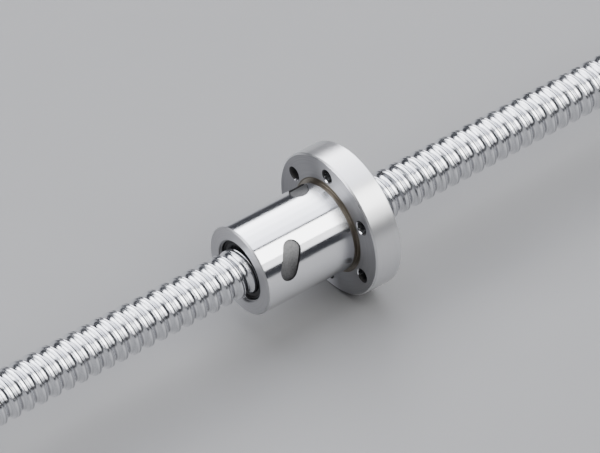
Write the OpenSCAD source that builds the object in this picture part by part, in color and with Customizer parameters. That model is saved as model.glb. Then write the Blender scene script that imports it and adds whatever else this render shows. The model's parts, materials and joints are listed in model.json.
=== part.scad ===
// Ball screw assembly: rolled or ground screw, single-flange ball nut with four
// internal return circuits, wipers at both ends of the nut, machined bearing ends.
// Millimetres. X is the screw axis. The flange's mounting face lies on X = 0 and
// the nut body runs from there toward -X. Angles are right-handed about +X, from +Y.

/* [Screw] */
// Ball circle diameter: the circle the ball centres run on
ball_circle_d = 16.5; // [16.5:0.05:16.6]
// Outside diameter of the threaded part
screw_od = 15.5; // [15.4:0.05:15.5]
// Length of thread toward the floating end, measured from the flange face
thread_left = 142.5; // [130:0.5:160]
// Length of thread toward the driven end, measured from the flange face
thread_right = 142.5; // [130:0.5:165]
// Radius of the ball groove in the screw
screw_groove_r = 1.75; // [1.75:0.01:1.77]

/* [Screw ends] */
// Diameter of the fixed bearing journal
journal_d = 12; // [10.5:0.5:12.5]
// Length of the fixed bearing journal
journal_l = 24; // [18:1:40]
// Outside diameter of the locknut thread
locknut_d = 11.9; // [10.3:0.1:11.9]
// Length of the locknut thread with its relief
locknut_l = 15; // [12:1:25]
// Diameter of the drive end, where a coupling goes
drive_d = 10; // [6:0.5:10]
// Length of the drive end
drive_l = 15; // [12:1:40]
// Diameter of the floating bearing journal
float_d = 10; // [8:0.5:12]
// Length of the floating bearing journal with its circlip groove
float_l = 11; // [9:1:20]

/* [Nut] */
// Outside diameter of the nut body
nut_d = 30; // [30:0.5:31]
// Length of the nut body from its nose to the flange face
nut_l = 35; // [35:0.5:40]
// Outside diameter of the flange
flange_d = 49; // [48:1:54]
// Thickness of the flange
flange_t = 10; // [10:0.5:12]
// Diameter of the bolt circle in the flange
bolt_circle_d = 39; // [38.5:0.5:40]
// Diameter of each bolt hole
bolt_hole_d = 4.5; // [3.4:0.1:5.5]
// Diameter of the screw-head counterbore on the flange's outer side
counterbore_d = 8; // [6:0.1:8]
// Depth of the screw-head counterbore
counterbore_l = 4.5; // [3:0.1:5]
// Edge chamfer on the nut's outside corners
edge = 0.5; // [0.2:0.1:0.6]
// Diameter of the recess that holds each wiper
recess_d = 21; // [20.9:0.1:21.4]
// Depth of the recess that holds each wiper
recess_l = 4; // [3.9:0.1:4.4]

/* [Ball return] */
// Number of turns of load-carrying circuits, one return insert each
circuits = 4; // [4:1:4]
// Ball diameter
ball_d = 3.175; // [3.15:0.005:3.175]
// Balls on the loaded turn of one circuit
balls_per_turn = 15; // [13:1:15]
// Length of a return insert over its round ends
insert_l = 13; // [12.6:0.1:13.2]
// Width of a return insert
insert_w = 6.2; // [6:0.1:6.4]
// Tilt of a return insert from square to the screw
insert_tilt = 30.7; // [29:0.1:32]
// Outside radius of a return insert's face, below the nut's ground surface
insert_top_r = 14.35; // [13.8:0.05:14.5]

/* [Hidden] */

lead = 5;
phase = 1;              // place of the thread along the axis, at angle 0
Rm = ball_circle_d / 2;
Ro = screw_od / 2;
z_lo = -thread_left;
z_hi = thread_right;
end_r = 6.85;           // radius of the thread's chamfered end faces
eps = 0.01;

bore_r = 8.1;           // bore of the nut between its ball grooves
nut_groove_r = 1.9;     // radius of the ball groove in the nut
fit = 0.04;             // gap round a return insert
return_half = 18;       // half the angle a ball spends in the return insert
lift_r = 9.42;          // radius at which a ball crosses over the screw's land

recess_r = recess_d / 2;
ring_wire_r = 0.35;     // half the wire of a retaining ring
ring_groove_w = 0.9;
ring_groove_r = recess_r + 0.45;
relief_w = 1.3;         // width of the unground relief in the corner of the flange
ring_lip = 0.6;         // metal between the ring groove and the end face
wiper_t = recess_l - ring_lip - ring_groove_w - 0.05;
wiper_in_r = 7.95;
port_x = 4.2;           // the oil port's place along the flange
steel = [0.80, 0.81, 0.83];
bright = [0.88, 0.89, 0.91];
grey = [0.55, 0.56, 0.57];
black = [0.07, 0.07, 0.08];

// local Z becomes +X, local X becomes +Y, local Y becomes +Z
module on_axis() { rotate([90, 0, 90]) children(); }

// angle and place along the axis of return insert i (0 is nearest the nose)
function insert_a(i) = 150 + 90 * i;
function insert_x(i) = lead * (insert_a(i) / 360 + i - 5.5) + phase;

// ---------------------------------------------------------------- thread
N = 16;                                   // columns round the screw
L = 6;                                    // lines per pitch: five groove facets, one land
groove_a = acos((Rm - Ro) / screw_groove_r);
function line_s(j) = screw_groove_r * sin(groove_a * (2 * j / (L - 1) - 1));
function line_r(j) = (j == 0 || j == L - 1) ? Ro
    : Rm - screw_groove_r * cos(groove_a * (2 * j / (L - 1) - 1));
k0 = floor(z_lo / lead) - 2;
k1 = ceil(z_hi / lead) + 2;
M = (k1 - k0) * L;
function line_z(i, m) = lead * (k0 + floor(m / L) + i / N) + line_s(m % L) + phase;
function line_rr(z, m) = min(line_r(m % L), end_r + (z - z_lo), end_r + (z_hi - z));
function vid(i, m) = let (z = line_z(i, m))
    z <= z_lo + eps ? i : z >= z_hi - eps ? N + i : 2 * N + i * M + m;
function vertex(i, m) = i < N ? vid(i, m) : vid(0, min(m + L, M - 1));
function good(t) = t[0] != t[1] && t[1] != t[2] && t[0] != t[2];

module thread_blank() {
    pts = concat(
        [for (i = [0 : N - 1]) [end_r * cos(360 * i / N), end_r * sin(360 * i / N), z_lo]],
        [for (i = [0 : N - 1]) [end_r * cos(360 * i / N), end_r * sin(360 * i / N), z_hi]],
        [for (i = [0 : N - 1], m = [0 : M - 1])
            let (z = line_z(i, m), r = max(line_rr(z, m), 1))
            [r * cos(360 * i / N), r * sin(360 * i / N), z]]);
    tris = [for (i = [0 : N - 1], m = [0 : M - 2], h = [0, 1])
        let (a = vertex(i, m), b = vertex(i + 1, m),
             c = vertex(i + 1, m + 1), d = vertex(i, m + 1),
             t = h == 0 ? [a, d, c] : [a, c, b])
        if (good(t)) t];
    polyhedron(points = pts, faces = concat(
        [[for (i = [0 : N - 1]) i]],
        [[for (i = [0 : N - 1]) 2 * N - 1 - i]],
        tris), convexity = 10);
}

module screw_shaft() {
    color(bright) on_axis() union() {
        thread_blank();
        // driven end: bearing journal, locknut thread with its relief, drive journal
        rotate_extrude($fn = 96) polygon([
            [0, z_hi - 1], [journal_d / 2, z_hi - 1],
            [journal_d / 2, z_hi + journal_l - 0.3], [journal_d / 2 - 0.3, z_hi + journal_l],
            [locknut_d / 2 - 0.9, z_hi + journal_l], [locknut_d / 2 - 0.9, z_hi + journal_l + 1.5],
            [locknut_d / 2, z_hi + journal_l + 2.4],
            [locknut_d / 2, z_hi + journal_l + locknut_l - 0.8],
            [min(locknut_d / 2 - 0.8, drive_d / 2 + 0.15), z_hi + journal_l + locknut_l],
            [drive_d / 2, z_hi + journal_l + locknut_l],
            [drive_d / 2, z_hi + journal_l + locknut_l + drive_l - 0.5],
            [drive_d / 2 - 0.5, z_hi + journal_l + locknut_l + drive_l],
            [0, z_hi + journal_l + locknut_l + drive_l]]);
        // floating end: bearing journal with a circlip groove
        rotate_extrude($fn = 96) polygon([
            [0, z_lo + 1], [0, z_lo - float_l],
            [float_d / 2 - 0.5, z_lo - float_l], [float_d / 2, z_lo - float_l + 0.5],
            [float_d / 2, z_lo - float_l + 0.85], [float_d / 2 - 0.2, z_lo - float_l + 0.85],
            [float_d / 2 - 0.2, z_lo - float_l + 2], [float_d / 2, z_lo - float_l + 2],
            [float_d / 2, z_lo + 1]]);
    }
}

// ---------------------------------------------------------------- swept channels
// A closed tube along a path near the axis. Each section is square to the path, with
// its u side away from the axis. prof holds [u, v] pairs.
function unit(v) = v / norm(v);
function section(p, t, prof) =
    let (r0 = unit([p[0], p[1], 0]), b = unit(cross(t, r0)), r = unit(cross(b, t)))
    [for (q = prof) p + q[0] * r + q[1] * b];
module swept(path, prof) {
    n = len(path);
    k = len(prof);
    pts = [for (i = [0 : n - 1])
        let (t = unit(path[min(i + 1, n - 1)] - path[max(i - 1, 0)]))
        each section(path[i], t, prof)];
    tris = [for (i = [0 : n - 2], j = [0 : k - 1], h = [0, 1])
        let (a = i * k + j, b = i * k + (j + 1) % k,
             c = (i + 1) * k + (j + 1) % k, d = (i + 1) * k + j)
        h == 0 ? [a, c, b] : [a, d, c]];
    polyhedron(points = pts, faces = concat(
        [[for (j = [0 : k - 1]) j]],
        [[for (j = [0 : k - 1]) n * k - 1 - j]],
        tris), convexity = 10);
}
function helix(a, x0 = 0) = [Rm * cos(a), Rm * sin(a), lead * a / 360 + x0];

// ---------------------------------------------------------------- nut
module pill(l, w, a, b) {
    linear_extrude(height = b - a) union() {
        square([w, l - w], center = true);
        translate([0, (l - w) / 2]) circle(d = w, $fn = 64);
        translate([0, -(l - w) / 2]) circle(d = w, $fn = 64);
    }
}
// prism through the nut's wall at return insert i, grown by g
module insert_prism(i, g, a, b) {
    rotate([0, 0, insert_a(i)]) translate([0, 0, insert_x(i)])
        rotate([0, 90, 0]) translate([0, 0, a]) rotate(-insert_tilt)
            pill(insert_l + 2 * g, insert_w + 2 * g, a, b);
}

module nut_blank() {
    rn = nut_d / 2;
    rf = flange_d / 2;
    xe = -nut_l;
    c = 0.3;
    rotate_extrude($fn = 128) polygon([
        [recess_r + c, xe], [rn - edge, xe], [rn, xe + edge],
        [rn, -relief_w], [rn - 0.3, -relief_w + 0.3], [rn - 0.3, 0.3],
        [rn + relief_w - 0.3, 0.3], [rn + relief_w, 0], [rf - edge, 0], [rf, edge], [rf, flange_t - edge], [rf - edge, flange_t],
        [recess_r + c, flange_t], [recess_r, flange_t - c],
        [recess_r, flange_t - ring_lip], [ring_groove_r, flange_t - ring_lip],
        [ring_groove_r, flange_t - ring_lip - ring_groove_w],
        [recess_r, flange_t - ring_lip - ring_groove_w],
        [recess_r, flange_t - recess_l],
        [bore_r + c, flange_t - recess_l], [bore_r, flange_t - recess_l - c],
        [bore_r, xe + recess_l + c], [bore_r + c, xe + recess_l],
        [recess_r, xe + recess_l],
        [recess_r, xe + ring_lip + ring_groove_w],
        [ring_groove_r, xe + ring_lip + ring_groove_w],
        [ring_groove_r, xe + ring_lip], [recess_r, xe + ring_lip],
        [recess_r, xe + c]]);
}

module nut_body() {
    a0 = 360 * (-nut_l + recess_l - 2 - phase) / lead;
    a1 = 360 * (flange_t - recess_l + 2 - phase) / lead;
    steps = ceil((a1 - a0) / 18);
    color(steel) on_axis() difference() {
        nut_blank();
        // helical ball groove, open into the wiper recess at both ends
        swept([for (i = [0 : steps]) helix(a0 + (a1 - a0) * i / steps, phase)],
              concat([for (q = [-80 : 40 : 80]) nut_groove_r * [cos(q), sin(q)]],
                     [[-0.8, 1.7], [-0.8, -1.7]]));
        // pockets for the return inserts
        for (i = [0 : circuits - 1]) insert_prism(i, 0, 5, 16.5);
        // bolt holes, chamfered on the mounting face and counterbored for screw heads
        for (h = [0 : 5]) rotate([0, 0, 30 + 60 * h]) translate([bolt_circle_d / 2, 0, 0]) {
            translate([0, 0, -1]) cylinder(d = bolt_hole_d, h = flange_t + 2, $fn = 48);
            translate([0, 0, -0.3]) cylinder(r1 = bolt_hole_d / 2 + 0.6, r2 = bolt_hole_d / 2, h = 0.6, $fn = 48);
            translate([0, 0, flange_t - counterbore_l]) cylinder(d = counterbore_d, h = counterbore_l + 1, $fn = 64);
            translate([0, 0, flange_t - 0.2]) cylinder(r1 = counterbore_d / 2, r2 = counterbore_d / 2 + 0.4, h = 0.4, $fn = 64);
        }
        // oil port in the rim: tapped part, then a narrow passage to the bore
        translate([0, 0, port_x]) rotate([0, 90, 0]) {
            translate([0, 0, 16.5]) cylinder(r = 2.5, h = 12, $fn = 48);
            translate([0, 0, 6]) cylinder(r = 1.1, h = 14, $fn = 32);
        }
    }
}

// ---------------------------------------------------------------- ball return
function clampt(t) = max(-1, min(1, t));
function cross_r(t) = Rm + (lift_r - Rm) * pow(max(cos(90 * clampt(t)), 0), 0.7);
function cross_x(t) = -(lead / 2 - lead * return_half / 360) * sin(90 * clampt(t))
    + (abs(t) > 1 ? lead * return_half / 360 * (t - clampt(t)) : 0);
function cross_pt(i, t) = let (a = insert_a(i) + return_half * t)
    [cross_r(t) * cos(a), cross_r(t) * sin(a), insert_x(i) + cross_x(t)];

module deflector(i) {
    color(grey) on_axis() difference() {
        intersection() {
            insert_prism(i, -fit, 5, 16.5);
            translate([0, 0, insert_x(i) - 8]) cylinder(r = insert_top_r, h = 16, $fn = 128);
        }
        translate([0, 0, insert_x(i) - 9]) cylinder(r = 8.05, h = 18, $fn = 128);
        swept([for (t = [-3.4, -3, -2.6, -2.2, -1.8, -1.4, -1, -0.75, -0.5, -0.25, 0, 0.25, 0.5, 0.75, 1, 1.4, 1.8, 2.2, 2.6, 3, 3.4])
                  cross_pt(i, t)],
              [for (q = [0 : 36 : 324]) 1.78 * [cos(q), sin(q)]]);
    }
}
module ball_circuit(i) {
    a0 = insert_a(i) + return_half;
    step = (360 - 2 * return_half) / (balls_per_turn - 1);
    x0 = insert_x(i) - lead / 2 - lead * insert_a(i) / 360;
    color(bright) on_axis() {
        for (b = [0 : balls_per_turn - 1])
            translate(helix(a0 + step * b, x0)) sphere(d = ball_d, $fn = 32);
        translate(cross_pt(i, 0)) sphere(d = ball_d, $fn = 32);
    }
}
module deflector_1() { deflector(0); }
module deflector_2() { deflector(1); }
module deflector_3() { deflector(2); }
module deflector_4() { deflector(3); }
module ball_circuit_1() { ball_circuit(0); }
module ball_circuit_2() { ball_circuit(1); }
module ball_circuit_3() { ball_circuit(2); }
module ball_circuit_4() { ball_circuit(3); }

// ---------------------------------------------------------------- wipers and rings
module wiper(x0) {
    color(black) on_axis() rotate_extrude($fn = 96) polygon([
        [wiper_in_r, x0 + 0.5], [wiper_in_r + 0.5, x0], [recess_r - 0.25, x0],
        [recess_r - 0.05, x0 + 0.2], [recess_r - 0.05, x0 + wiper_t - 0.2],
        [recess_r - 0.25, x0 + wiper_t], [wiper_in_r + 0.5, x0 + wiper_t],
        [wiper_in_r, x0 + wiper_t - 0.5]]);
}
module nose_wiper() { wiper(-nut_l + recess_l - wiper_t - 0.02); }
module flange_wiper() { wiper(flange_t - recess_l + 0.02); }

// a round-wire snap ring, open over 30 degrees
module retaining_ring(x0, gap_at) {
    color(grey) on_axis() translate([0, 0, x0]) rotate([0, 0, gap_at])
        rotate_extrude(angle = 330, $fn = 96)
            translate([recess_r, 0]) circle(r = ring_wire_r, $fn = 24);
}
module nose_wiper_retaining_ring() {
    retaining_ring(-nut_l + ring_lip + ring_groove_w / 2, 85);
}
module flange_wiper_retaining_ring() {
    retaining_ring(flange_t - ring_lip - ring_groove_w / 2, 85);
}

// ---------------------------------------------------------------- oil port plug
module oil_port_plug() {
    color(grey) on_axis() translate([0, 0, port_x]) rotate([0, 90, 0]) difference() {
        union() {
            translate([0, 0, 18]) cylinder(r1 = 1.95, r2 = 2.45, h = 0.5, $fn = 48);
            translate([0, 0, 18.5]) cylinder(r = 2.45, h = 5, $fn = 48);
        }
        translate([0, 0, 20.5]) cylinder(r = 3 / sqrt(3), h = 4, $fn = 6);
    }
}

screw_shaft();
nut_body();
deflector_1();
deflector_2();
deflector_3();
deflector_4();
ball_circuit_1();
ball_circuit_2();
ball_circuit_3();
ball_circuit_4();
nose_wiper();
flange_wiper();
nose_wiper_retaining_ring();
flange_wiper_retaining_ring();
oil_port_plug();
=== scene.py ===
import json
import math

import bmesh
import bpy
import numpy as np
from mathutils import Matrix, Vector

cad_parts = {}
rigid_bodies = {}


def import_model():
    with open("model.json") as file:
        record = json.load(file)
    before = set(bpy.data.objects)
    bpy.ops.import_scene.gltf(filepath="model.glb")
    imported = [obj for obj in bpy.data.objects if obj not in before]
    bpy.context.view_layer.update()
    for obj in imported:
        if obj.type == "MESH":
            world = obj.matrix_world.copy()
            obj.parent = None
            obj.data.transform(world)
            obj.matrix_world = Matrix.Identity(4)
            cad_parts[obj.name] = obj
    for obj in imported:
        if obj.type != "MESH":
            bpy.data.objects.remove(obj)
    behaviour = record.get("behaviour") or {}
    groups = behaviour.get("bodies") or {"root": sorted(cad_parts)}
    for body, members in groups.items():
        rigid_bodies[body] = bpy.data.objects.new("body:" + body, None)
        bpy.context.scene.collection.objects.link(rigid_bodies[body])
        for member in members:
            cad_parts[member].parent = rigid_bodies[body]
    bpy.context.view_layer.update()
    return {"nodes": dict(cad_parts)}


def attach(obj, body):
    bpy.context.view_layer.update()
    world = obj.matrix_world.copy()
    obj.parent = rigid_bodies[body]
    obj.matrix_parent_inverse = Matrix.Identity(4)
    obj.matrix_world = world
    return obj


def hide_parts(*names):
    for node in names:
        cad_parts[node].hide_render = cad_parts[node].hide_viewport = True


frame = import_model()
NODES = frame["nodes"]
MM = 0.001
TAU = 2 * math.pi

# ------------------------------------------------------------------ sizes, mm, as in the CAD
LEAD = 5.0
PHASE = 1.0
RM, RO = 8.25, 7.75
Z_LO, Z_HI = -142.5, 142.5
NUT_R, NUT_L = 15.0, 35.0
FL_R, FL_T = 24.5, 10.0
REC_R, REC_L = 10.5, 4.0
PCD_R, HOLE_R = 19.5, 2.25
CB_R, CB_L = 4.0, 4.5
PORT_X = 4.2
TOP_R = 14.35
TILT = 30.7
PILL_L, PILL_W = 13.0, 6.2


def insert_a(i):
    return 150.0 + 90.0 * i


def insert_x(i):
    return LEAD * (insert_a(i) / 360 + i - 5.5) + PHASE


# ------------------------------------------------------------------ mesh helpers
def make_object(name, verts, faces, mm=True):
    me = bpy.data.meshes.new(name)
    v = np.asarray(verts, float) * (MM if mm else 1)
    me.from_pydata([tuple(p) for p in v], [], [tuple(int(i) for i in f) for f in faces])
    me.validate()
    me.update()
    o = bpy.data.objects.new(name, me)
    bpy.context.scene.collection.objects.link(o)
    return o


def lathe(name, prof, n=192, closed=True):
    """Turned solid about X from (x, r) points in order. A closed profile makes a ring; an open one starts and ends on the axis."""
    ang = np.arange(n) * TAU / n
    verts, rows = [], []
    for x, r in prof:
        if r < 1e-9:
            rows.append([len(verts)] * n)
            verts.append((x, 0.0, 0.0))
        else:
            rows.append(list(range(len(verts), len(verts) + n)))
            verts += [(x, r * math.cos(a), r * math.sin(a)) for a in ang]
    faces = []
    m = len(prof)
    for k in range(m if closed else m - 1):
        p, q = rows[k], rows[(k + 1) % m]
        for i in range(n):
            j = (i + 1) % n
            f = [p[i], p[j], q[j], q[i]]
            g = []
            for t in f:
                if t not in g:
                    g.append(t)
            if len(g) > 2:
                faces.append(g)
    o = make_object(name, verts, faces)
    outward(o)
    return o


def outward(o):
    bm = bmesh.new()
    bm.from_mesh(o.data)
    bmesh.ops.recalc_face_normals(bm, faces=bm.faces)
    if bm.calc_volume(signed=True) < 0:
        bmesh.ops.reverse_faces(bm, faces=bm.faces)
    bm.to_mesh(o.data)
    bm.free()


def swept(name, path, prof):
    """Closed tube: prof holds (u, v), u away from the X axis, v square to it and to the path. path in mm, (x, y, z)."""
    path = np.asarray(path, float)
    n, k = len(path), len(prof)
    verts = []
    for i in range(n):
        t = path[min(i + 1, n - 1)] - path[max(i - 1, 0)]
        t /= np.linalg.norm(t)
        r0 = np.array([0, path[i][1], path[i][2]])
        r0 /= np.linalg.norm(r0)
        b = np.cross(t, r0)
        b /= np.linalg.norm(b)
        r = np.cross(b, t)
        verts += [path[i] + u * r + v * b for u, v in prof]
    faces = [list(range(k))[::-1], [(n - 1) * k + j for j in range(k)]]
    for i in range(n - 1):
        for j in range(k):
            a, b_ = i * k + j, i * k + (j + 1) % k
            faces.append([a, b_, b_ + k, a + k])
    o = make_object(name, verts, faces)
    outward(o)
    return o


def prism(name, outline, a, b, frame_m):
    """Straight prism over a 2D outline from height a to b, put in place by a 4x4 matrix, mm."""
    k = len(outline)
    verts = [(u, v, a) for u, v in outline] + [(u, v, b) for u, v in outline]
    faces = [list(range(k))[::-1], list(range(k, 2 * k))]
    faces += [[j, (j + 1) % k, k + (j + 1) % k, k + j] for j in range(k)]
    verts = [tuple(frame_m @ Vector(p)) for p in verts]
    o = make_object(name, verts, faces)
    outward(o)
    return o


def boolean(target, tool, op, drop=True):
    m = target.modifiers.new("b", "BOOLEAN")
    m.operation = op
    m.object = tool
    m.solver = "MANIFOLD"
    dg = bpy.context.evaluated_depsgraph_get()
    dg.update()
    me = bpy.data.meshes.new_from_object(target.evaluated_get(dg))
    target.modifiers.clear()
    old = target.data
    target.data = me
    bpy.data.meshes.remove(old)
    if drop:
        md = tool.data
        bpy.data.objects.remove(tool)
        bpy.data.meshes.remove(md)
    return target


def join(objs, name):
    verts, faces, off = [], [], 0
    for o in objs:
        verts += [tuple(v.co) for v in o.data.vertices]
        faces += [[off + i for i in p.vertices] for p in o.data.polygons]
        off = len(verts)
    out = make_object(name, verts, faces, mm=False)
    for o in objs:
        md = o.data
        bpy.data.objects.remove(o)
        bpy.data.meshes.remove(md)
    return out


def clean(o, dist=0.002):
    bm = bmesh.new()
    bm.from_mesh(o.data)
    bmesh.ops.remove_doubles(bm, verts=bm.verts, dist=dist * MM)
    bmesh.ops.dissolve_degenerate(bm, dist=dist * MM, edges=bm.edges)
    bm.to_mesh(o.data)
    bm.free()


def smooth(o, angle=32):
    me = o.data
    me.polygons.foreach_set("use_smooth", [True] * len(me.polygons))
    me.set_sharp_from_angle(angle=math.radians(angle))
    me.update()


def place_angle(a, x):
    """Local frame of return insert: local x is along -X of the screw, y is towards growing angle, z is away from the axis."""
    c, s = math.cos(math.radians(a)), math.sin(math.radians(a))
    # columns: images of local x, y, z, then the origin
    return Matrix(((-1, 0, 0, x), (0, -s, c, 0), (0, c, s, 0), (0, 0, 0, 1)))


def pill(l, w, n=24, tilt=-TILT):
    h, r = (l - w) / 2, w / 2
    pts = [(r * math.cos(t), h + r * math.sin(t)) for t in np.linspace(0, math.pi, n + 1)]
    pts += [(r * math.cos(t), -h + r * math.sin(t)) for t in np.linspace(math.pi, TAU, n + 1)]
    c, s = math.cos(math.radians(tilt)), math.sin(math.radians(tilt))
    return [(x * c - y * s, x * s + y * c) for x, y in pts]


def disc(n, r):
    return [(r * math.cos(t), r * math.sin(t)) for t in np.arange(n) * TAU / n]


def cone_tool(name, x0, r0, x1, r1, y, z, n=48):
    """Frustum along X."""
    verts = [(x0, y + r0 * math.cos(t), z + r0 * math.sin(t)) for t in np.arange(n) * TAU / n]
    verts += [(x1, y + r1 * math.cos(t), z + r1 * math.sin(t)) for t in np.arange(n) * TAU / n]
    faces = [list(range(n)), list(range(n, 2 * n))[::-1]]
    faces += [[j, (j + 1) % n, n + (j + 1) % n, n + j] for j in range(n)]
    o = make_object(name, verts, faces)
    outward(o)
    return o


# ------------------------------------------------------------------ screw
def helical_rod(name, prof, pitch, x0, x1, n, phase=0.0):
    """Solid rod whose surface is a helical thread. prof: (s, r) over one pitch, s rising from 0 to under pitch."""
    k = len(prof)
    t0 = math.floor(x0 / pitch) - 1
    t1 = math.ceil(x1 / pitch) + 1
    turns = t1 - t0
    m = turns * k
    verts = np.zeros((n, m + k, 3))
    s = np.array([p[0] for p in prof])
    r = np.array([p[1] for p in prof])
    for i in range(n):
        a = TAU * i / n
        for t in range(turns + 1):
            x = pitch * (t0 + t + i / n) + s + phase
            verts[i, t * k:(t + 1) * k, 0] = x
            verts[i, t * k:(t + 1) * k, 1] = r * math.cos(a)
            verts[i, t * k:(t + 1) * k, 2] = r * math.sin(a)
    vs = verts.reshape(-1, 3)
    mm_ = m + k

    def vid(i, j):
        return i * mm_ + j if i < n else (i - n) * mm_ + j + k
    faces = []
    for i in range(n):
        top = m if i == n - 1 else m
        for j in range(top - 1 + (0 if i == n - 1 else 0)):
            faces.append((vid(i, j), vid(i, j + 1), vid(i + 1, j + 1), vid(i + 1, j)))
    # ends: helical end rings are closed with fans to points on the axis
    lo = len(vs)
    hi = lo + 1
    vs = np.vstack([vs, [[pitch * t0 - pitch + phase, 0, 0]], [[pitch * (t1 + 1) + phase, 0, 0]]])
    ring_lo = [vid(i, 0) for i in range(n)] + [vid(0, j) for j in range(k, 0, -1)]
    ring_hi = [vid(i, m - 1) for i in range(n)] + [vid(0, m - 1 + j) for j in range(k, 0, -1)]
    for q in range(len(ring_lo)):
        p0, p1 = ring_lo[q], ring_lo[(q + 1) % len(ring_lo)]
        faces.append((lo, p0, p1))
        p0, p1 = ring_hi[q], ring_hi[(q + 1) % len(ring_hi)]
        faces.append((hi, p1, p0))
    o = make_object(name, vs, faces)
    bm = bmesh.new()
    bm.from_mesh(o.data)
    loose = [v for v in bm.verts if not v.link_faces]
    bmesh.ops.delete(bm, geom=loose, context="VERTS")
    bmesh.ops.recalc_face_normals(bm, faces=bm.faces)
    if bm.calc_volume(signed=True) < 0:
        bmesh.ops.reverse_faces(bm, faces=bm.faces)
    bm.to_mesh(o.data)
    bm.free()
    return o


def groove_profile():
    """One pitch of the screw's surface, (s, r), s from the groove's middle: gothic arch, rounded edge, land with a shallow seam."""
    R, e = 1.75, 0.03
    cy = RM + e
    rho = 0.30
    dy = cy - RO + rho
    sc = math.sqrt((R + rho) ** 2 - dy ** 2) - e
    ph1 = math.degrees(math.atan2(sc + e, dy))
    root = cy - math.sqrt(R * R - e * e)
    half = []
    for ph in (7, 14, 22, 31, 41, 51, ph1):
        half.append((-e + R * math.sin(math.radians(ph)), cy - R * math.cos(math.radians(ph))))
    for f in (0.75, 0.5, 0.25, 0.0):
        q = math.radians(ph1 * f)
        half.append((sc - rho * math.sin(q), RO - rho + rho * math.cos(q)))
    land = [(2.3, RO), (2.62, RO), (2.78, RO - 0.06), (2.88, RO - 0.10), (2.98, RO - 0.06), (3.12, RO)]
    return [(0.0, root)] + half + land + [(LEAD - s, r) for s, r in reversed(half)]


def build_screw():
    rod = helical_rod("screw_thread", groove_profile(), LEAD, Z_LO - 6, Z_HI + 6, 52, PHASE)
    env = lathe("env", [(Z_LO, 0), (Z_LO, 6.75), (Z_LO + 1.25, 8.0), (Z_HI - 1.25, 8.0), (Z_HI, 6.75), (Z_HI, 0)], 96, closed=False)
    boolean(rod, env, "INTERSECT")
    j = Z_HI
    right = lathe("right_end", [
        (j - 1, 0), (j - 1, 6.0), (j + 0.0, 6.0), (j + 23.75, 6.0), (j + 24.0, 5.75),
        (j + 24.0, 5.05), (j + 25.5, 5.05), (j + 25.7, 5.2),
        (j + 38.9, 5.2), (j + 39.0, 5.0),
        (j + 53.5, 5.0), (j + 53.6, 4.97), (j + 54.0, 4.5),
        (j + 54.0, 1.15), (j + 53.7, 0.95), (j + 52.9, 0.0)], 128, closed=False)
    left = lathe("left_end", [
        (Z_LO + 1, 0), (Z_LO + 1, 5.0), (Z_LO, 5.0), (-151.5, 5.0), (-151.5, 4.8), (-152.65, 4.8), (-152.65, 5.0),
        (-153.05, 5.0), (-153.5, 4.55), (-153.5, 1.15), (-153.2, 0.95), (-152.4, 0.0)][::-1], 128, closed=False)
    # locknut thread, 1 mm pitch
    H = 0.54
    vprof = [(0.0, 5.95 - H), (0.08, 5.95 - H), (0.46, 5.95), (0.62, 5.95)]
    nut_thread = helical_rod("locknut_thread", vprof, 1.0, j + 24, j + 41, 64)
    env2 = lathe("env2", [(j + 25.6, 0), (j + 25.6, 5.2), (j + 26.4, 6.05), (j + 38.2, 6.05), (j + 39.0, 5.15), (j + 39.0, 0)], 96, closed=False)
    boolean(nut_thread, env2, "INTERSECT")
    boolean(right, nut_thread, "UNION")
    boolean(rod, right, "UNION")
    boolean(rod, left, "UNION")
    clean(rod, 0.0005)
    smooth(rod, 30)
    return rod


# ------------------------------------------------------------------ nut
def helix_path(a0, a1, step, x0=0.0, r=RM):
    n = int(math.ceil((a1 - a0) / step))
    out = []
    for i in range(n + 1):
        a = a0 + (a1 - a0) * i / n
        out.append((LEAD * a / 360 + x0, r * math.cos(math.radians(a)), r * math.sin(math.radians(a))))
    return out


def cross_pt(i, t):
    c = max(-1, min(1, t))
    r = RM + (9.42 - RM) * max(math.cos(math.radians(90 * c)), 0) ** 0.7
    x = -(LEAD / 2 - LEAD * 18 / 360) * math.sin(math.radians(90 * c))
    if abs(t) > 1:
        x += LEAD * 18 / 360 * (t - c)
    a = math.radians(insert_a(i) + 18 * t)
    return (insert_x(i) + x, r * math.cos(a), r * math.sin(a))


def arc(cx, cr, rad, d0, d1, n=3):
    return [(cx + rad * math.cos(math.radians(d)), cr + rad * math.sin(math.radians(d))) for d in np.linspace(d0, d1, n + 1)]


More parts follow.
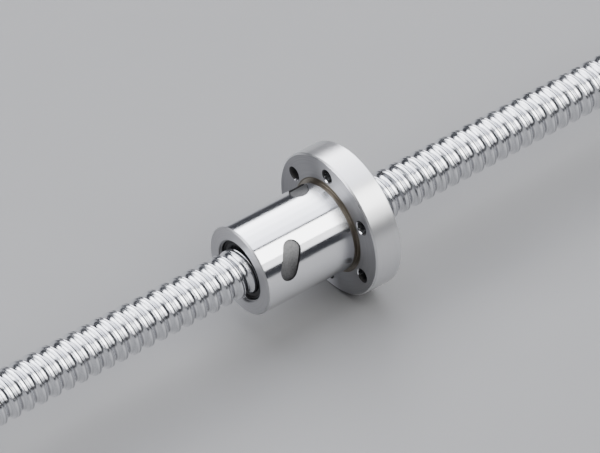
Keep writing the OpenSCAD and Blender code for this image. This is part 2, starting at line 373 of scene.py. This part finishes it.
def build_nut():
    rn, rf, xe, c = NUT_R, FL_R, -NUT_L, 0.3
    prof = [(xe, REC_R + c), (xe, rn - 0.55), (xe + 0.05, rn - 0.47), (xe + 0.47, rn - 0.05), (xe + 0.55, rn)]
    prof += [(-1.36, rn), (-1.3, rn - 0.02), (-1.02, rn - 0.28), (-0.96, rn - 0.3), (0.16, rn - 0.3), (0.26, rn - 0.24), (0.3, rn - 0.12)]
    prof += [(0.3, rn + 0.94), (0.28, rn + 1.0), (0.02, rn + 1.26), (0, rn + 1.32)]
    prof += [(0, rf - 0.55), (0.05, rf - 0.47), (0.47, rf - 0.05), (0.55, rf)]
    prof += [(FL_T - 0.55, rf), (FL_T - 0.47, rf - 0.05), (FL_T - 0.05, rf - 0.47), (FL_T, rf - 0.55)]
    prof += [(FL_T, REC_R + c), (FL_T - c, REC_R), (FL_T - 0.6, REC_R), (FL_T - 0.6, REC_R + 0.45),
             (FL_T - 1.5, REC_R + 0.45), (FL_T - 1.5, REC_R), (FL_T - REC_L, REC_R),
             (FL_T - REC_L, 8.4), (FL_T - REC_L - c, 8.1), (xe + REC_L + c, 8.1), (xe + REC_L, 8.4),
             (xe + REC_L, REC_R), (xe + 1.5, REC_R), (xe + 1.5, REC_R + 0.45),
             (xe + 0.6, REC_R + 0.45), (xe + 0.6, REC_R), (xe + c, REC_R)]
    nut = lathe("nut", prof, 256)
    tools = []
    groove = [(1.9 * math.cos(math.radians(q)), 1.9 * math.sin(math.radians(q))) for q in range(-80, 81, 20)]
    groove += [(-0.8, 1.7), (-0.8, -1.7)]
    a0, a1 = 360 * (xe + REC_L - 2 - PHASE) / LEAD, 360 * (FL_T - REC_L + 2 - PHASE) / LEAD
    boolean(nut, swept("groove", helix_path(a0, a1, 9, PHASE), groove), "DIFFERENCE")
    for i in range(4):
        boolean(nut, prism("pocket", pill(PILL_L, PILL_W, 32), 5, 16.5, place_angle(insert_a(i), insert_x(i))), "DIFFERENCE")
    for h in range(6):
        a = math.radians(30 + 60 * h)
        y, z = PCD_R * math.cos(a), PCD_R * math.sin(a)
        boolean(nut, lathe_at("hole", [
            (-1, 0), (-1, HOLE_R + 1.25), (0.25, HOLE_R), (FL_T - CB_L, HOLE_R), (FL_T - CB_L, CB_R),
            (FL_T - 0.25, CB_R), (FL_T + 1, CB_R + 1.25), (FL_T + 1, 0)], y, z, 64), "DIFFERENCE")
    # oil port, from the +Y side of the rim
    boolean(nut, radial_lathe("port", [(25.5, 0), (25.5, 4.0), (24.3, 2.95), (23.9, 2.55), (16.6, 2.5), (15.4, 1.1), (7, 1.1), (7, 0)], PORT_X), "DIFFERENCE")
    clean(nut, 0.001)
    return nut


def lathe_at(name, prof, y, z, n):
    o = lathe(name, prof, n, closed=False)
    o.data.transform(Matrix.Translation((0, y * MM, z * MM)))
    return o


def radial_lathe(name, prof, x, n=48):
    """prof: (distance from the screw axis along +Y, radius)."""
    o = lathe(name, prof, n, closed=False)
    # X -> Y, then shift along X
    o.data.transform(Matrix.Translation((x * MM, 0, 0)) @ Matrix(((0, -1, 0, 0), (1, 0, 0, 0), (0, 0, 1, 0), (0, 0, 0, 1))))
    return o


def build_insert(i):
    m = place_angle(insert_a(i), insert_x(i))
    lay = [(pill(PILL_L - 0.08, PILL_W - 0.08, 32), 5.0), (pill(PILL_L - 0.08, PILL_W - 0.08, 32), 13.75),
           (pill(PILL_L - 0.75, PILL_W - 0.75, 32), 14.45), (pill(PILL_L - 0.75, PILL_W - 0.75, 32), 15.5)]
    k = len(lay[0][0])
    verts = [tuple(m @ Vector((u, v, h))) for o, h in lay for u, v in o]
    faces = [list(range(k))[::-1], list(range(3 * k, 4 * k))]
    for q in range(3):
        faces += [[q * k + j, q * k + (j + 1) % k, (q + 1) * k + (j + 1) % k, (q + 1) * k + j] for j in range(k)]
    body = make_object("insert_%d" % (i + 1), verts, faces)
    outward(body)
    x0 = insert_x(i)
    shell = lathe("shell", [(x0 - 8, 8.05), (x0 - 8, TOP_R), (x0 + 8, TOP_R), (x0 + 8, 8.05)], 256)
    boolean(body, shell, "INTERSECT")
    path = [cross_pt(i, t) for t in np.linspace(-3.4, 3.4, 55)]
    boolean(body, swept("channel", path, disc(24, 1.74)), "DIFFERENCE")
    clean(body, 0.001)
    return body


screw = build_screw()
nut = build_nut()
inserts = [build_insert(i) for i in range(4)]

# ------------------------------------------------------------------ small parts
def build_wiper(name, x_in, face):
    """Wiper ring: x_in is the side by the balls, face = -1 or 1 is the way its seen side looks."""
    t = REC_L - 1.5 - 0.05
    x_out = x_in + face * t
    d = -face
    prof = [(x_out, 10.2), (x_out + 0.06 * d, 10.38), (x_out + 0.2 * d, 10.45), (x_in - 0.2 * d, 10.45), (x_in - 0.06 * d, 10.38), (x_in, 10.2),
            (x_in, 8.5), (x_in - 0.4 * d, 8.0), (x_in - 0.7 * d, 7.96), (x_in - 1.1 * d, 8.25), (x_in - 1.5 * d, 8.3),
            (x_out + 0.5 * d, 7.96), (x_out + 0.25 * d, 7.96), (x_out + 0.1 * d, 8.1), (x_out, 8.35),
            (x_out, 8.95), (x_out + 0.22 * d, 9.05), (x_out + 0.22 * d, 9.35), (x_out, 9.45)]
    o = lathe(name, prof, 160)
    return o


def build_ring(name, x0, gap_at):
    n, k, a = 150, 20, math.radians(330)
    verts, faces = [], []
    for i in range(n + 1):
        t = math.radians(gap_at) + a * i / n
        shrink = 1.0 if 0 < i < n else 0.72
        for j in range(k):
            q = TAU * j / k
            r = REC_R + 0.35 * shrink * math.cos(q)
            verts.append((x0 + 0.35 * shrink * math.sin(q), r * math.cos(t), r * math.sin(t)))
    for i in range(n):
        for j in range(k):
            faces.append([i * k + j, i * k + (j + 1) % k, (i + 1) * k + (j + 1) % k, (i + 1) * k + j])
    faces += [list(range(k))[::-1], [n * k + j for j in range(k)]]
    o = make_object(name, verts, faces)
    outward(o)
    return o


def build_plug():
    o = radial_lathe("oil_plug", [(18, 0), (18, 1.95), (18.45, 2.42), (18.6, 2.45), (23.3, 2.45), (23.42, 2.4), (23.5, 2.25),
                                  (23.5, 1.95), (23.2, 1.75), (23.2, 0)], PORT_X, 64)
    c, s = 0.0, 1.0
    m = Matrix(((0, 1, 0, PORT_X), (0, 0, 1, 0), (1, 0, 0, 0), (0, 0, 0, 1)))
    hexa = [(1.72 * math.cos(t), 1.72 * math.sin(t)) for t in np.arange(6) * TAU / 6]
    boolean(o, prism("hex", hexa, 20.5, 24.5, m), "DIFFERENCE")
    clean(o, 0.001)
    return o


nose_wiper = build_wiper("nose_wiper_seal", -NUT_L + REC_L - 0.02, -1)
flange_wiper = build_wiper("flange_wiper_seal", FL_T - REC_L + 0.02, 1)
nose_ring = build_ring("nose_snap_ring", -NUT_L + 1.05, 85)
flange_ring = build_ring("flange_snap_ring", FL_T - 1.05, 85)
plug = build_plug()


# ------------------------------------------------------------------ shader helpers
class Mat:
    def __init__(self, name, **base):
        self.m = bpy.data.materials.new(name)
        self.m.use_nodes = True
        self.t = self.m.node_tree
        self.t.nodes.clear()
        self.out = self.t.nodes.new("ShaderNodeOutputMaterial")
        self.b = self.t.nodes.new("ShaderNodeBsdfPrincipled")
        self.t.links.new(self.b.outputs[0], self.out.inputs[0])
        for k, v in base.items():
            self.b.inputs[k.replace("_", " ")].default_value = v
        self._co = None

    def node(self, kind, **kw):
        n = self.t.nodes.new(kind)
        for k, v in kw.items():
            setattr(n, k, v)
        return n

    def put(self, sock, v):
        if isinstance(v, bpy.types.NodeSocket):
            self.t.links.new(v, sock)
        elif v is not None:
            sock.default_value = v

    def math(self, op, a, b=None, c=None):
        n = self.node("ShaderNodeMath", operation=op)
        for i, v in enumerate((a, b, c)):
            if v is not None:
                self.put(n.inputs[i], v)
        return n.outputs[0]

    def co(self):
        if self._co is None:
            self._co = self.node("ShaderNodeTexCoord").outputs["Object"]
        return self._co

    def xyz(self):
        n = self.node("ShaderNodeSeparateXYZ")
        self.put(n.inputs[0], self.co())
        return n.outputs

    def comb(self, x, y, z):
        n = self.node("ShaderNodeCombineXYZ")
        for i, v in enumerate((x, y, z)):
            self.put(n.inputs[i], v)
        return n.outputs[0]

    def scaled(self, sx, sy, sz):
        n = self.node("ShaderNodeVectorMath", operation="MULTIPLY")
        self.put(n.inputs[0], self.co())
        n.inputs[1].default_value = (sx, sy, sz)
        return n.outputs[0]

    def radius(self):
        x, y, z = self.xyz()
        return self.math("SQRT", self.math("ADD", self.math("MULTIPLY", y, y), self.math("MULTIPLY", z, z)))

    def noise(self, vec, scale=1.0, detail=2.0, rough=0.5):
        n = self.node("ShaderNodeTexNoise")
        self.put(n.inputs["Vector"], vec)
        n.inputs["Scale"].default_value = scale
        n.inputs["Detail"].default_value = detail
        n.inputs["Roughness"].default_value = rough
        return n.outputs[0]

    def ramp(self, fac, lo, hi, a=0.0, b=1.0):
        n = self.node("ShaderNodeMapRange")
        self.put(n.inputs["Value"], fac)
        n.inputs["From Min"].default_value, n.inputs["From Max"].default_value = lo, hi
        n.inputs["To Min"].default_value, n.inputs["To Max"].default_value = a, b
        return n.outputs[0]

    def colour(self, fac, c0, c1):
        n = self.node("ShaderNodeMix", data_type="RGBA")
        self.put(n.inputs["Factor"], fac)
        n.inputs["A"].default_value = (*c0, 1)
        n.inputs["B"].default_value = (*c1, 1)
        for s in n.inputs:
            if s.type == "RGBA" and s.name == "A":
                s.default_value = (*c0, 1)
            if s.type == "RGBA" and s.name == "B":
                s.default_value = (*c1, 1)
        return [s for s in n.outputs if s.type == "RGBA"][0]

    def bump(self, height, strength, dist, normal=None):
        n = self.node("ShaderNodeBump")
        n.inputs["Strength"].default_value = strength
        n.inputs["Distance"].default_value = dist
        self.put(n.inputs["Height"], height)
        if normal is not None:
            self.put(n.inputs["Normal"], normal)
        return n.outputs[0]

    def tangent(self, rotation=0.25):
        n = self.node("ShaderNodeTangent", direction_type="RADIAL", axis="X")
        self.put(self.b.inputs["Tangent"], n.outputs[0])
        self.b.inputs["Anisotropic Rotation"].default_value = rotation

    def base(self, v):
        self.put(self.b.inputs["Base Color"], v)

    def rough(self, v):
        self.put(self.b.inputs["Roughness"], v)

    def normal(self, v):
        self.put(self.b.inputs["Normal"], v)


def steel_ground(name, col=(0.80, 0.81, 0.84), dark=(0.74, 0.75, 0.79), r0=0.10, r1=0.15, aniso=0.6, lines=0.05, fx=2600.0):
    """Cylindrically ground steel: fine lines round the axis, faint uneven gloss."""
    k = Mat(name, Metallic=1.0, Anisotropic=aniso)
    k.tangent()
    fine = k.noise(k.scaled(fx, 26, 26), 1.0, 3.0, 0.6)
    broad = k.noise(k.scaled(120, 60, 60), 1.0, 3.0, 0.55)
    k.base(k.colour(k.ramp(k.math("MULTIPLY_ADD", fine, 0.5, k.math("MULTIPLY", broad, 0.5)), 0.35, 0.65), dark, col))
    k.rough(k.ramp(k.math("MULTIPLY_ADD", fine, 0.4, k.math("MULTIPLY", broad, 0.6)), 0.35, 0.65, r0, r1))
    k.normal(k.bump(fine, lines, 0.00002))
    return k.m


def steel_thread(name):
    """Ball thread. Faint helical bands darken the base colour: painted reflection stripes that stand for the
    reflections running along the real screw's thread.
    """
    k = Mat(name, Metallic=1.0, Anisotropic=0.3)
    k.tangent()
    x, y, z = k.xyz()
    turn = k.math("ARCTAN2", z, y)
    place = k.math("SUBTRACT", k.math("MULTIPLY_ADD", x, 1000.0 * TAU / LEAD, -TAU / LEAD * PHASE), turn)

    def painted_reflection_band(s0, w, amount):
        c = k.math("COSINE", k.math("ADD", place, -TAU * s0 / LEAD))
        return k.ramp(c, math.cos(TAU * w / LEAD), 1.0, 0.0, amount)
    painted_reflection_bands = k.math("ADD", k.math("ADD", painted_reflection_band(2.93, 0.46, 0.6), painted_reflection_band(4.68, 0.55, 1.0)), k.math("ADD", painted_reflection_band(1.85, 0.3, 0.3), painted_reflection_band(0.65, 0.4, 0.3)))
    fine = k.noise(k.scaled(3000, 26, 26), 1.0, 3.0, 0.6)
    broad = k.noise(k.scaled(120, 60, 60), 1.0, 3.0, 0.55)
    painted_reflection_tone = k.math("MULTIPLY", painted_reflection_bands, k.ramp(broad, 0.2, 0.7, 0.8, 1.0))
    # painted reflection: the bands darken the thread's colour towards (0.30, 0.30, 0.32)
    k.base(k.colour(k.math("MULTIPLY_ADD", fine, 0.08, painted_reflection_tone), (0.83, 0.84, 0.87), (0.30, 0.30, 0.32)))
    k.rough(k.ramp(k.math("MULTIPLY_ADD", fine, 0.4, k.math("MULTIPLY", broad, 0.6)), 0.35, 0.65, 0.18, 0.24))
    k.normal(k.bump(fine, 0.05, 0.00002, k.bump(k.math("MULTIPLY", painted_reflection_bands, -1.0), 1.0, 0.00006)))
    return k.m


def steel_turned(name, col, dark, r0, r1, aniso=0.75, pitch=5200.0, strength=0.25):
    """Turned face: concentric tool marks, so highlights run out in radial fans."""
    k = Mat(name, Metallic=1.0, Anisotropic=aniso)
    k.tangent()
    r = k.radius()
    x, y, z = k.xyz()
    marks = k.noise(k.comb(k.math("MULTIPLY", r, pitch), k.math("MULTIPLY", y, 35), k.math("MULTIPLY", z, 35)), 1.0, 2.5, 0.6)
    broad = k.noise(k.scaled(110, 110, 110), 1.0, 3.0, 0.55)
    k.base(k.colour(k.ramp(marks, 0.3, 0.7), dark, col))
    k.rough(k.ramp(k.math("MULTIPLY_ADD", marks, 0.5, k.math("MULTIPLY", broad, 0.5)), 0.35, 0.65, r0, r1))
    k.normal(k.bump(marks, strength, 0.00002))
    return k.m


def steel_matte(name, col, dark, r0, r1, grain=1800.0, strength=0.5, metallic=1.0):
    k = Mat(name, Metallic=metallic)
    g = k.noise(k.scaled(grain, grain, grain), 1.0, 3.0, 0.65)
    broad = k.noise(k.scaled(240, 240, 240), 1.0, 3.0, 0.6)
    k.base(k.colour(k.ramp(k.math("MULTIPLY_ADD", g, 0.55, k.math("MULTIPLY", broad, 0.45)), 0.35, 0.65), dark, col))
    k.rough(k.ramp(broad, 0.35, 0.65, r0, r1))
    k.normal(k.bump(g, strength, 0.00003))
    return k.m


def steel_relief(name):
    """Corner relief left unground after heat treatment: brown and straw oxide."""
    k = Mat(name, Metallic=1.0, Anisotropic=0.5)
    k.tangent()
    n = k.noise(k.scaled(900, 90, 90), 1.0, 3.0, 0.6)
    k.base(k.colour(k.ramp(n, 0.35, 0.65), (0.17, 0.15, 0.12), (0.31, 0.285, 0.25)))
    k.rough(k.ramp(n, 0.3, 0.7, 0.30, 0.45))
    k.normal(k.bump(n, 0.3, 0.00003))
    return k.m


def plastic_black(name):
    k = Mat(name)
    k.b.inputs["Specular IOR Level"].default_value = 0.4
    g = k.noise(k.scaled(2200, 2200, 2200), 1.0, 3.0, 0.6)
    b = k.noise(k.scaled(300, 300, 300), 1.0, 2.0, 0.5)
    k.base(k.colour(b, (0.008, 0.008, 0.009), (0.014, 0.014, 0.016)))
    k.rough(k.ramp(b, 0.3, 0.7, 0.38, 0.52))
    k.normal(k.bump(g, 0.25, 0.00003))
    return k.m


def steel_balls(name):
    k = Mat(name, Metallic=1.0)
    n = k.noise(k.scaled(700, 700, 700), 1.0, 3.0, 0.6)
    k.base(k.colour(n, (0.78, 0.79, 0.81), (0.88, 0.89, 0.91)))
    k.rough(k.ramp(n, 0.3, 0.7, 0.03, 0.07))
    return k.m


M = {
    "screw": steel_thread("screw_ground"),
    "journal": steel_ground("journal_ground", r0=0.16, r1=0.22, aniso=0.7),
    "od": steel_ground("nut_ground", col=(0.82, 0.825, 0.85), dark=(0.78, 0.785, 0.81), r0=0.17, r1=0.195, aniso=0.97, lines=0.03),
    "rim": steel_ground("rim_turned", col=(0.73, 0.73, 0.74), dark=(0.67, 0.67, 0.685), r0=0.32, r1=0.38, aniso=0.5, lines=0.12, fx=3600.0),
    # flange face: the same turned steel as the nose face, given a darker colour as painted shade
    "face": steel_turned("flange_face_turned_painted_shade", (0.44, 0.44, 0.455), (0.35, 0.35, 0.365), 0.40, 0.48, aniso=0.95),
    "nose": steel_turned("nose_face_turned", (0.56, 0.56, 0.575), (0.47, 0.47, 0.485), 0.42, 0.52, aniso=0.6),
    "relief": steel_relief("corner_relief"),
    "inside": steel_turned("bore_machined", (0.50, 0.50, 0.51), (0.38, 0.38, 0.39), 0.28, 0.40, aniso=0.4),
    # bolt holes: near-black, non-metal colour painted in as the shade inside the holes
    "hole": steel_matte("hole_drilled_painted_shade", (0.022, 0.021, 0.0205), (0.011, 0.0105, 0.0105), 0.6, 0.75, metallic=0.0),
    # insert pocket walls: near-black, non-metal colour painted in as the shade in the recesses round the inserts
    "pocket": steel_matte("pocket_milled_painted_shade", (0.02, 0.02, 0.021), (0.01, 0.01, 0.011), 0.5, 0.65, metallic=0.0),
    "insert": steel_matte("insert_sintered", (0.15, 0.15, 0.152), (0.075, 0.075, 0.077), 0.46, 0.60, grain=1800.0, strength=0.8),
    "plastic": plastic_black("wiper_moulded"),
    "wire": steel_ground("spring_wire", col=(0.42, 0.42, 0.43), dark=(0.30, 0.30, 0.31), r0=0.25, r1=0.35, aniso=0.3),
    "plug": steel_matte("plug_black_oxide", (0.07, 0.07, 0.075), (0.035, 0.035, 0.04), 0.35, 0.5),
    "balls": steel_balls("bearing_ball_polish"),
}


def assign(o, mats, classify, analytic):
    """Gives each face a material by its place, and exact normals where the surface is a known cylinder or plane."""
    me = o.data
    me.materials.clear()
    for k in mats:
        me.materials.append(M[k])
    idx = {k: i for i, k in enumerate(mats)}
    co = np.zeros(len(me.vertices) * 3)
    me.vertices.foreach_get("co", co)
    co = co.reshape(-1, 3) / MM
    custom = [(0.0, 0.0, 0.0)] * len(me.loops)
    for p in me.polygons:
        vs = co[list(p.vertices)]
        r = np.hypot(vs[:, 1], vs[:, 2])
        n = p.normal
        p.material_index = idx[classify(vs, r, n)]
        how = analytic(vs, r, n)
        if how == "radial":
            for li, v, rr in zip(p.loop_indices, vs, r):
                custom[li] = (0.0, v[1] / rr, v[2] / rr)
        elif how == "inward":
            for li, v, rr in zip(p.loop_indices, vs, r):
                custom[li] = (0.0, -v[1] / rr, -v[2] / rr)
        elif how == "flat":
            for li in p.loop_indices:
                custom[li] = tuple(n)
    me.normals_split_custom_set(custom)


def nut_class(vs, r, n):
    x, rc = vs[:, 0].mean(), r.mean()
    y, z = vs[:, 1].mean(), vs[:, 2].mean()
    rad = (n[1] * y + n[2] * z) / max(math.hypot(y, z), 1e-6)
    if -1.34 < x < 0.31 and r.min() > 14.6 and r.max() < 16.4:
        return "relief"
    if rc > 15.02 and abs(n[0]) > 0.9 and (x < 0.2 or x > 9.8):
        return "face"
    if rc > 24.0 and rad > 0.2 and r.min() > 23.8:
        return "rim"
    if x < -34.46 and rc > 10.9:
        return "nose"
    if r.min() > 14.4 and rad > 0.3:
        return "od"
    if x > -0.1 and math.hypot(y, z) > 15.0:
        return "hole"
    if rc > 8.2 and rc < 15.0 and -33 < x < 0 and abs(rad) < 0.7 and abs(n[0]) < 0.95:
        return "pocket"
    return "inside"


def nut_normals(vs, r, n):
    if abs(n[0]) > 0.9995:
        return "flat"
    for R in (15.0, 24.5, 14.7):
        if np.all(np.abs(r - R) < 0.012) and abs(n[0]) < 0.02:
            return "radial"
    for R in (8.1, 10.5):
        if np.all(np.abs(r - R) < 0.012) and abs(n[0]) < 0.02:
            return "inward"
    return None


smooth(nut, 25)
assign(nut, ["od", "rim", "face", "nose", "relief", "inside", "hole", "pocket"], nut_class, nut_normals)


def insert_class(vs, r, n):
    return "insert"


def insert_normals(vs, r, n):
    if np.all(np.abs(r - TOP_R) < 0.012):
        return "radial"
    return None


for o in inserts:
    smooth(o, 25)
    assign(o, ["insert"], insert_class, insert_normals)


def screw_class(vs, r, n):
    return "journal" if vs[:, 0].mean() > Z_HI - 0.01 or vs[:, 0].mean() < Z_LO + 0.01 else "screw"


def screw_normals(vs, r, n):
    if abs(n[0]) > 0.9995:
        return "flat"
    return None


assign(screw, ["screw", "journal"], screw_class, screw_normals)
for o, k in ((nose_wiper, "plastic"), (flange_wiper, "plastic"), (nose_ring, "wire"), (flange_ring, "wire"), (plug, "plug")):
    o.data.materials.clear()
    o.data.materials.append(M[k])
    o.data.polygons.foreach_set("material_index", [0] * len(o.data.polygons))
    smooth(o, 35)
for i in range(1, 5):
    o = NODES["ball_circuit_%d" % i]
    for s in range(max(len(o.data.materials), 1)):
        if o.data.materials:
            o.data.materials[s] = M["balls"]
        else:
            o.data.materials.append(M["balls"])
    o.data.polygons.foreach_set("use_smooth", [True] * len(o.data.polygons))

screw.name = "screw_thread"
nut.name = "flanged_nut"
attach(screw, "screw")
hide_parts("screw_shaft")
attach(nut, "nut")
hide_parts("nut_body")
for i, o in enumerate(inserts):
    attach(o, "nut")
    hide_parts("deflector_%d" % (i + 1))
for o, node, body, slot in ((nose_wiper, "nose_wiper", "nut", "wiper_plastic"), (flange_wiper, "flange_wiper", "nut", "wiper_plastic"),
                            (nose_ring, "nose_wiper_retaining_ring", "nose_ring", "ring_steel"),
                            (flange_ring, "flange_wiper_retaining_ring", "nut", "ring_steel"),
                            (plug, "oil_port_plug", "nut", "plug_steel")):
    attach(o, body)
    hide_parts(node)

# ------------------------------------------------------------------ camera
AZ, EL, ROLL, DIST = math.radians(-36.761), math.radians(40.848), math.radians(-1.702), 1.55077
back = Vector((math.sin(AZ) * math.cos(EL), -math.cos(AZ) * math.cos(EL), math.sin(EL)))
right = Vector((math.cos(AZ), math.sin(AZ), 0))
up = back.cross(right)
cam_x = right * math.cos(ROLL) + up * math.sin(ROLL)
cam_y = up * math.cos(ROLL) - right * math.sin(ROLL)
place = back * DIST + right * -0.0087829 + up * -0.0003646
cam_d = bpy.data.cameras.new("camera")
cam_d.sensor_width = 36.0
cam_d.sensor_fit = "HORIZONTAL"
cam_d.lens = 298.117
cam_d.clip_start, cam_d.clip_end = 0.05, 20.0
cam = bpy.data.objects.new("camera", cam_d)
cam.matrix_world = Matrix(((cam_x.x, cam_y.x, back.x, place.x), (cam_x.y, cam_y.y, back.y, place.y), (cam_x.z, cam_y.z, back.z, place.z), (0, 0, 0, 1)))
bpy.context.scene.collection.objects.link(cam)
bpy.context.scene.camera = cam

# ------------------------------------------------------------------ floor and light
FLOOR_Z = -0.0246


def build_floor():
    s = 6.0
    o = make_object("floor", [(-s, -s, FLOOR_Z), (s, -s, FLOOR_Z), (s, s, FLOOR_Z), (-s, s, FLOOR_Z)], [[0, 1, 2, 3]], mm=False)
    k = Mat("floor_paper")
    n = k.noise(k.scaled(60, 60, 60), 1.0, 4.0, 0.6)
    k.base(k.colour(n, (0.155, 0.155, 0.158), (0.172, 0.172, 0.175)))
    k.rough(k.ramp(n, 0.3, 0.7, 0.55, 0.65))
    k.normal(k.bump(k.noise(k.scaled(900, 900, 900), 1.0, 2.0, 0.5), 0.05, 0.0002))
    o.data.materials.append(k.m)
    return o


floor = build_floor()


def strip(name, e0, e1, radiance, dist=2.0, length=7.0, x=1.1, colour=(1, 1, 1)):
    """Softbox parallel to the screw, from elevation e0 to e1 in degrees, measured from -Y up and over to +Y."""
    mid, half = math.radians((e0 + e1) / 2), math.radians((e1 - e0) / 2)
    w = 2 * dist * math.tan(half)
    d = bpy.data.lights.new(name, "AREA")
    d.shape = "RECTANGLE"
    d.size, d.size_y = length, w
    d.energy = radiance * math.pi * length * w
    d.color = colour
    o = bpy.data.objects.new(name, d)
    pos = Vector((0, -math.cos(mid), math.sin(mid))) * dist
    o.location = (x, pos.y, pos.z)
    z = Vector((0, pos.y, pos.z)).normalized()
    xa = Vector((1, 0, 0))
    ya = z.cross(xa)
    o.matrix_world = Matrix(((xa.x, ya.x, z.x, x), (xa.y, ya.y, z.y, pos.y), (xa.z, ya.z, z.z, pos.z), (0, 0, 0, 1)))
    bpy.context.scene.collection.objects.link(o)
    return o


def strip_between(name, e0, e1, radiance, g0, g1, colour=(1, 1, 1)):
    """Strip at 2 m, reaching along the screw from angle g0 to g1 off its cross plane."""
    a, b = 2.0 * math.tan(math.radians(g0)), 2.0 * math.tan(math.radians(g1))
    return strip(name, e0, e1, radiance, length=b - a, x=(a + b) / 2, colour=colour)


strip_between("front_softbox", 36, 70.7, 9.0, -16, 38, (1.0, 1.0, 0.985))
strip_between("front_skirt", 20, 35, 3.0, -16, 39)
strip_between("top_softbox_a", 76.3, 93, 4.2, -20, 39, (0.91, 0.93, 1.0))
strip_between("top_softbox_b", 93, 112, 5.2, -20, 39, (0.92, 0.94, 1.0))
strip_between("top_softbox_c", 112, 130, 6.3, -20, 39, (0.94, 0.955, 1.0))
strip_between("top_softbox_d", 130, 150, 7.5, -20, 39, (0.96, 0.97, 1.0))


def panel(name, centre, w, h, radiance, colour=(1, 1, 1)):
    """Softbox square to the screw, in the plane x = centre[0], w along Y and h along Z, facing the nut."""
    d = bpy.data.lights.new(name, "AREA")
    d.shape = "RECTANGLE"
    d.size, d.size_y = w, h
    d.energy = radiance * math.pi * w * h
    d.color = colour
    d_ = 1 if centre[0] > 0 else -1
    o = bpy.data.objects.new(name, d)
    o.matrix_world = Matrix(((0, 0, d_, centre[0]), (d_, 0, 0, centre[1]), (0, 1, 0, centre[2]), (0, 0, 0, 1)))
    bpy.context.scene.collection.objects.link(o)
    return o


panel("left_softbox", (-2.2, 1.0, 1.6), 1.8, 2.0, 6.0, (0.95, 0.96, 1.0))
for o in bpy.context.scene.objects:
    if o.type == "LIGHT":
        o.visible_camera = False

world = bpy.data.worlds.new("studio")
world.use_nodes = True
world.node_tree.nodes["Background"].inputs[0].default_value = (0.045, 0.047, 0.055, 1)
world.node_tree.nodes["Background"].inputs[1].default_value = 1.0
bpy.context.scene.world = world

bpy.context.view_layer.update()
